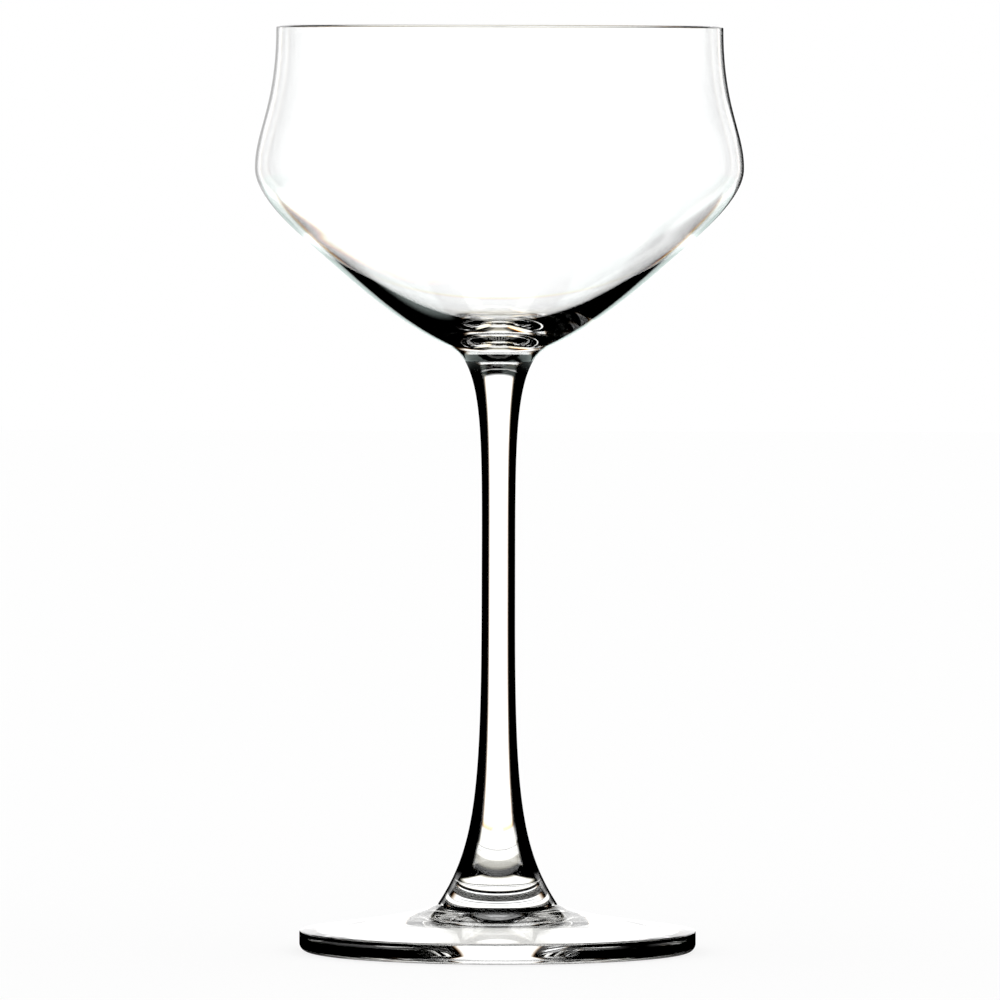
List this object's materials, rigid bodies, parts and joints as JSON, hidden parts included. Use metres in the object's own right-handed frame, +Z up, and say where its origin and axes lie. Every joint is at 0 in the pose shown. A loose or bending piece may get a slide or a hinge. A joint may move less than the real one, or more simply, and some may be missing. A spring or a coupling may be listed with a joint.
{
  "type": "coupe glass",
  "caption": "Stemmed coupe glass: wide rounded bowl narrowing to its rim, slim flared stem, round foot with a hollow underside.",
  "frame": {"origin": "centre of the ring that the foot stands on, on the glass's axis", "axes": "+Z up along the axis of the glass, from the foot to the rim; +X to the right of the pictured view, +Y away from it"},
  "size_m": [0.095, 0.095, 0.1796],
  "materials": {
    "bowl_glass": "clear fire-polished glass",
    "stem_glass": "clear fire-polished glass",
    "foot_glass": "clear pressed glass"
  },
  "bodies": {
    "root": {"bowl": "bowl_glass", "stem": "stem_glass", "foot": "foot_glass"}
  },
  "joints": []
}
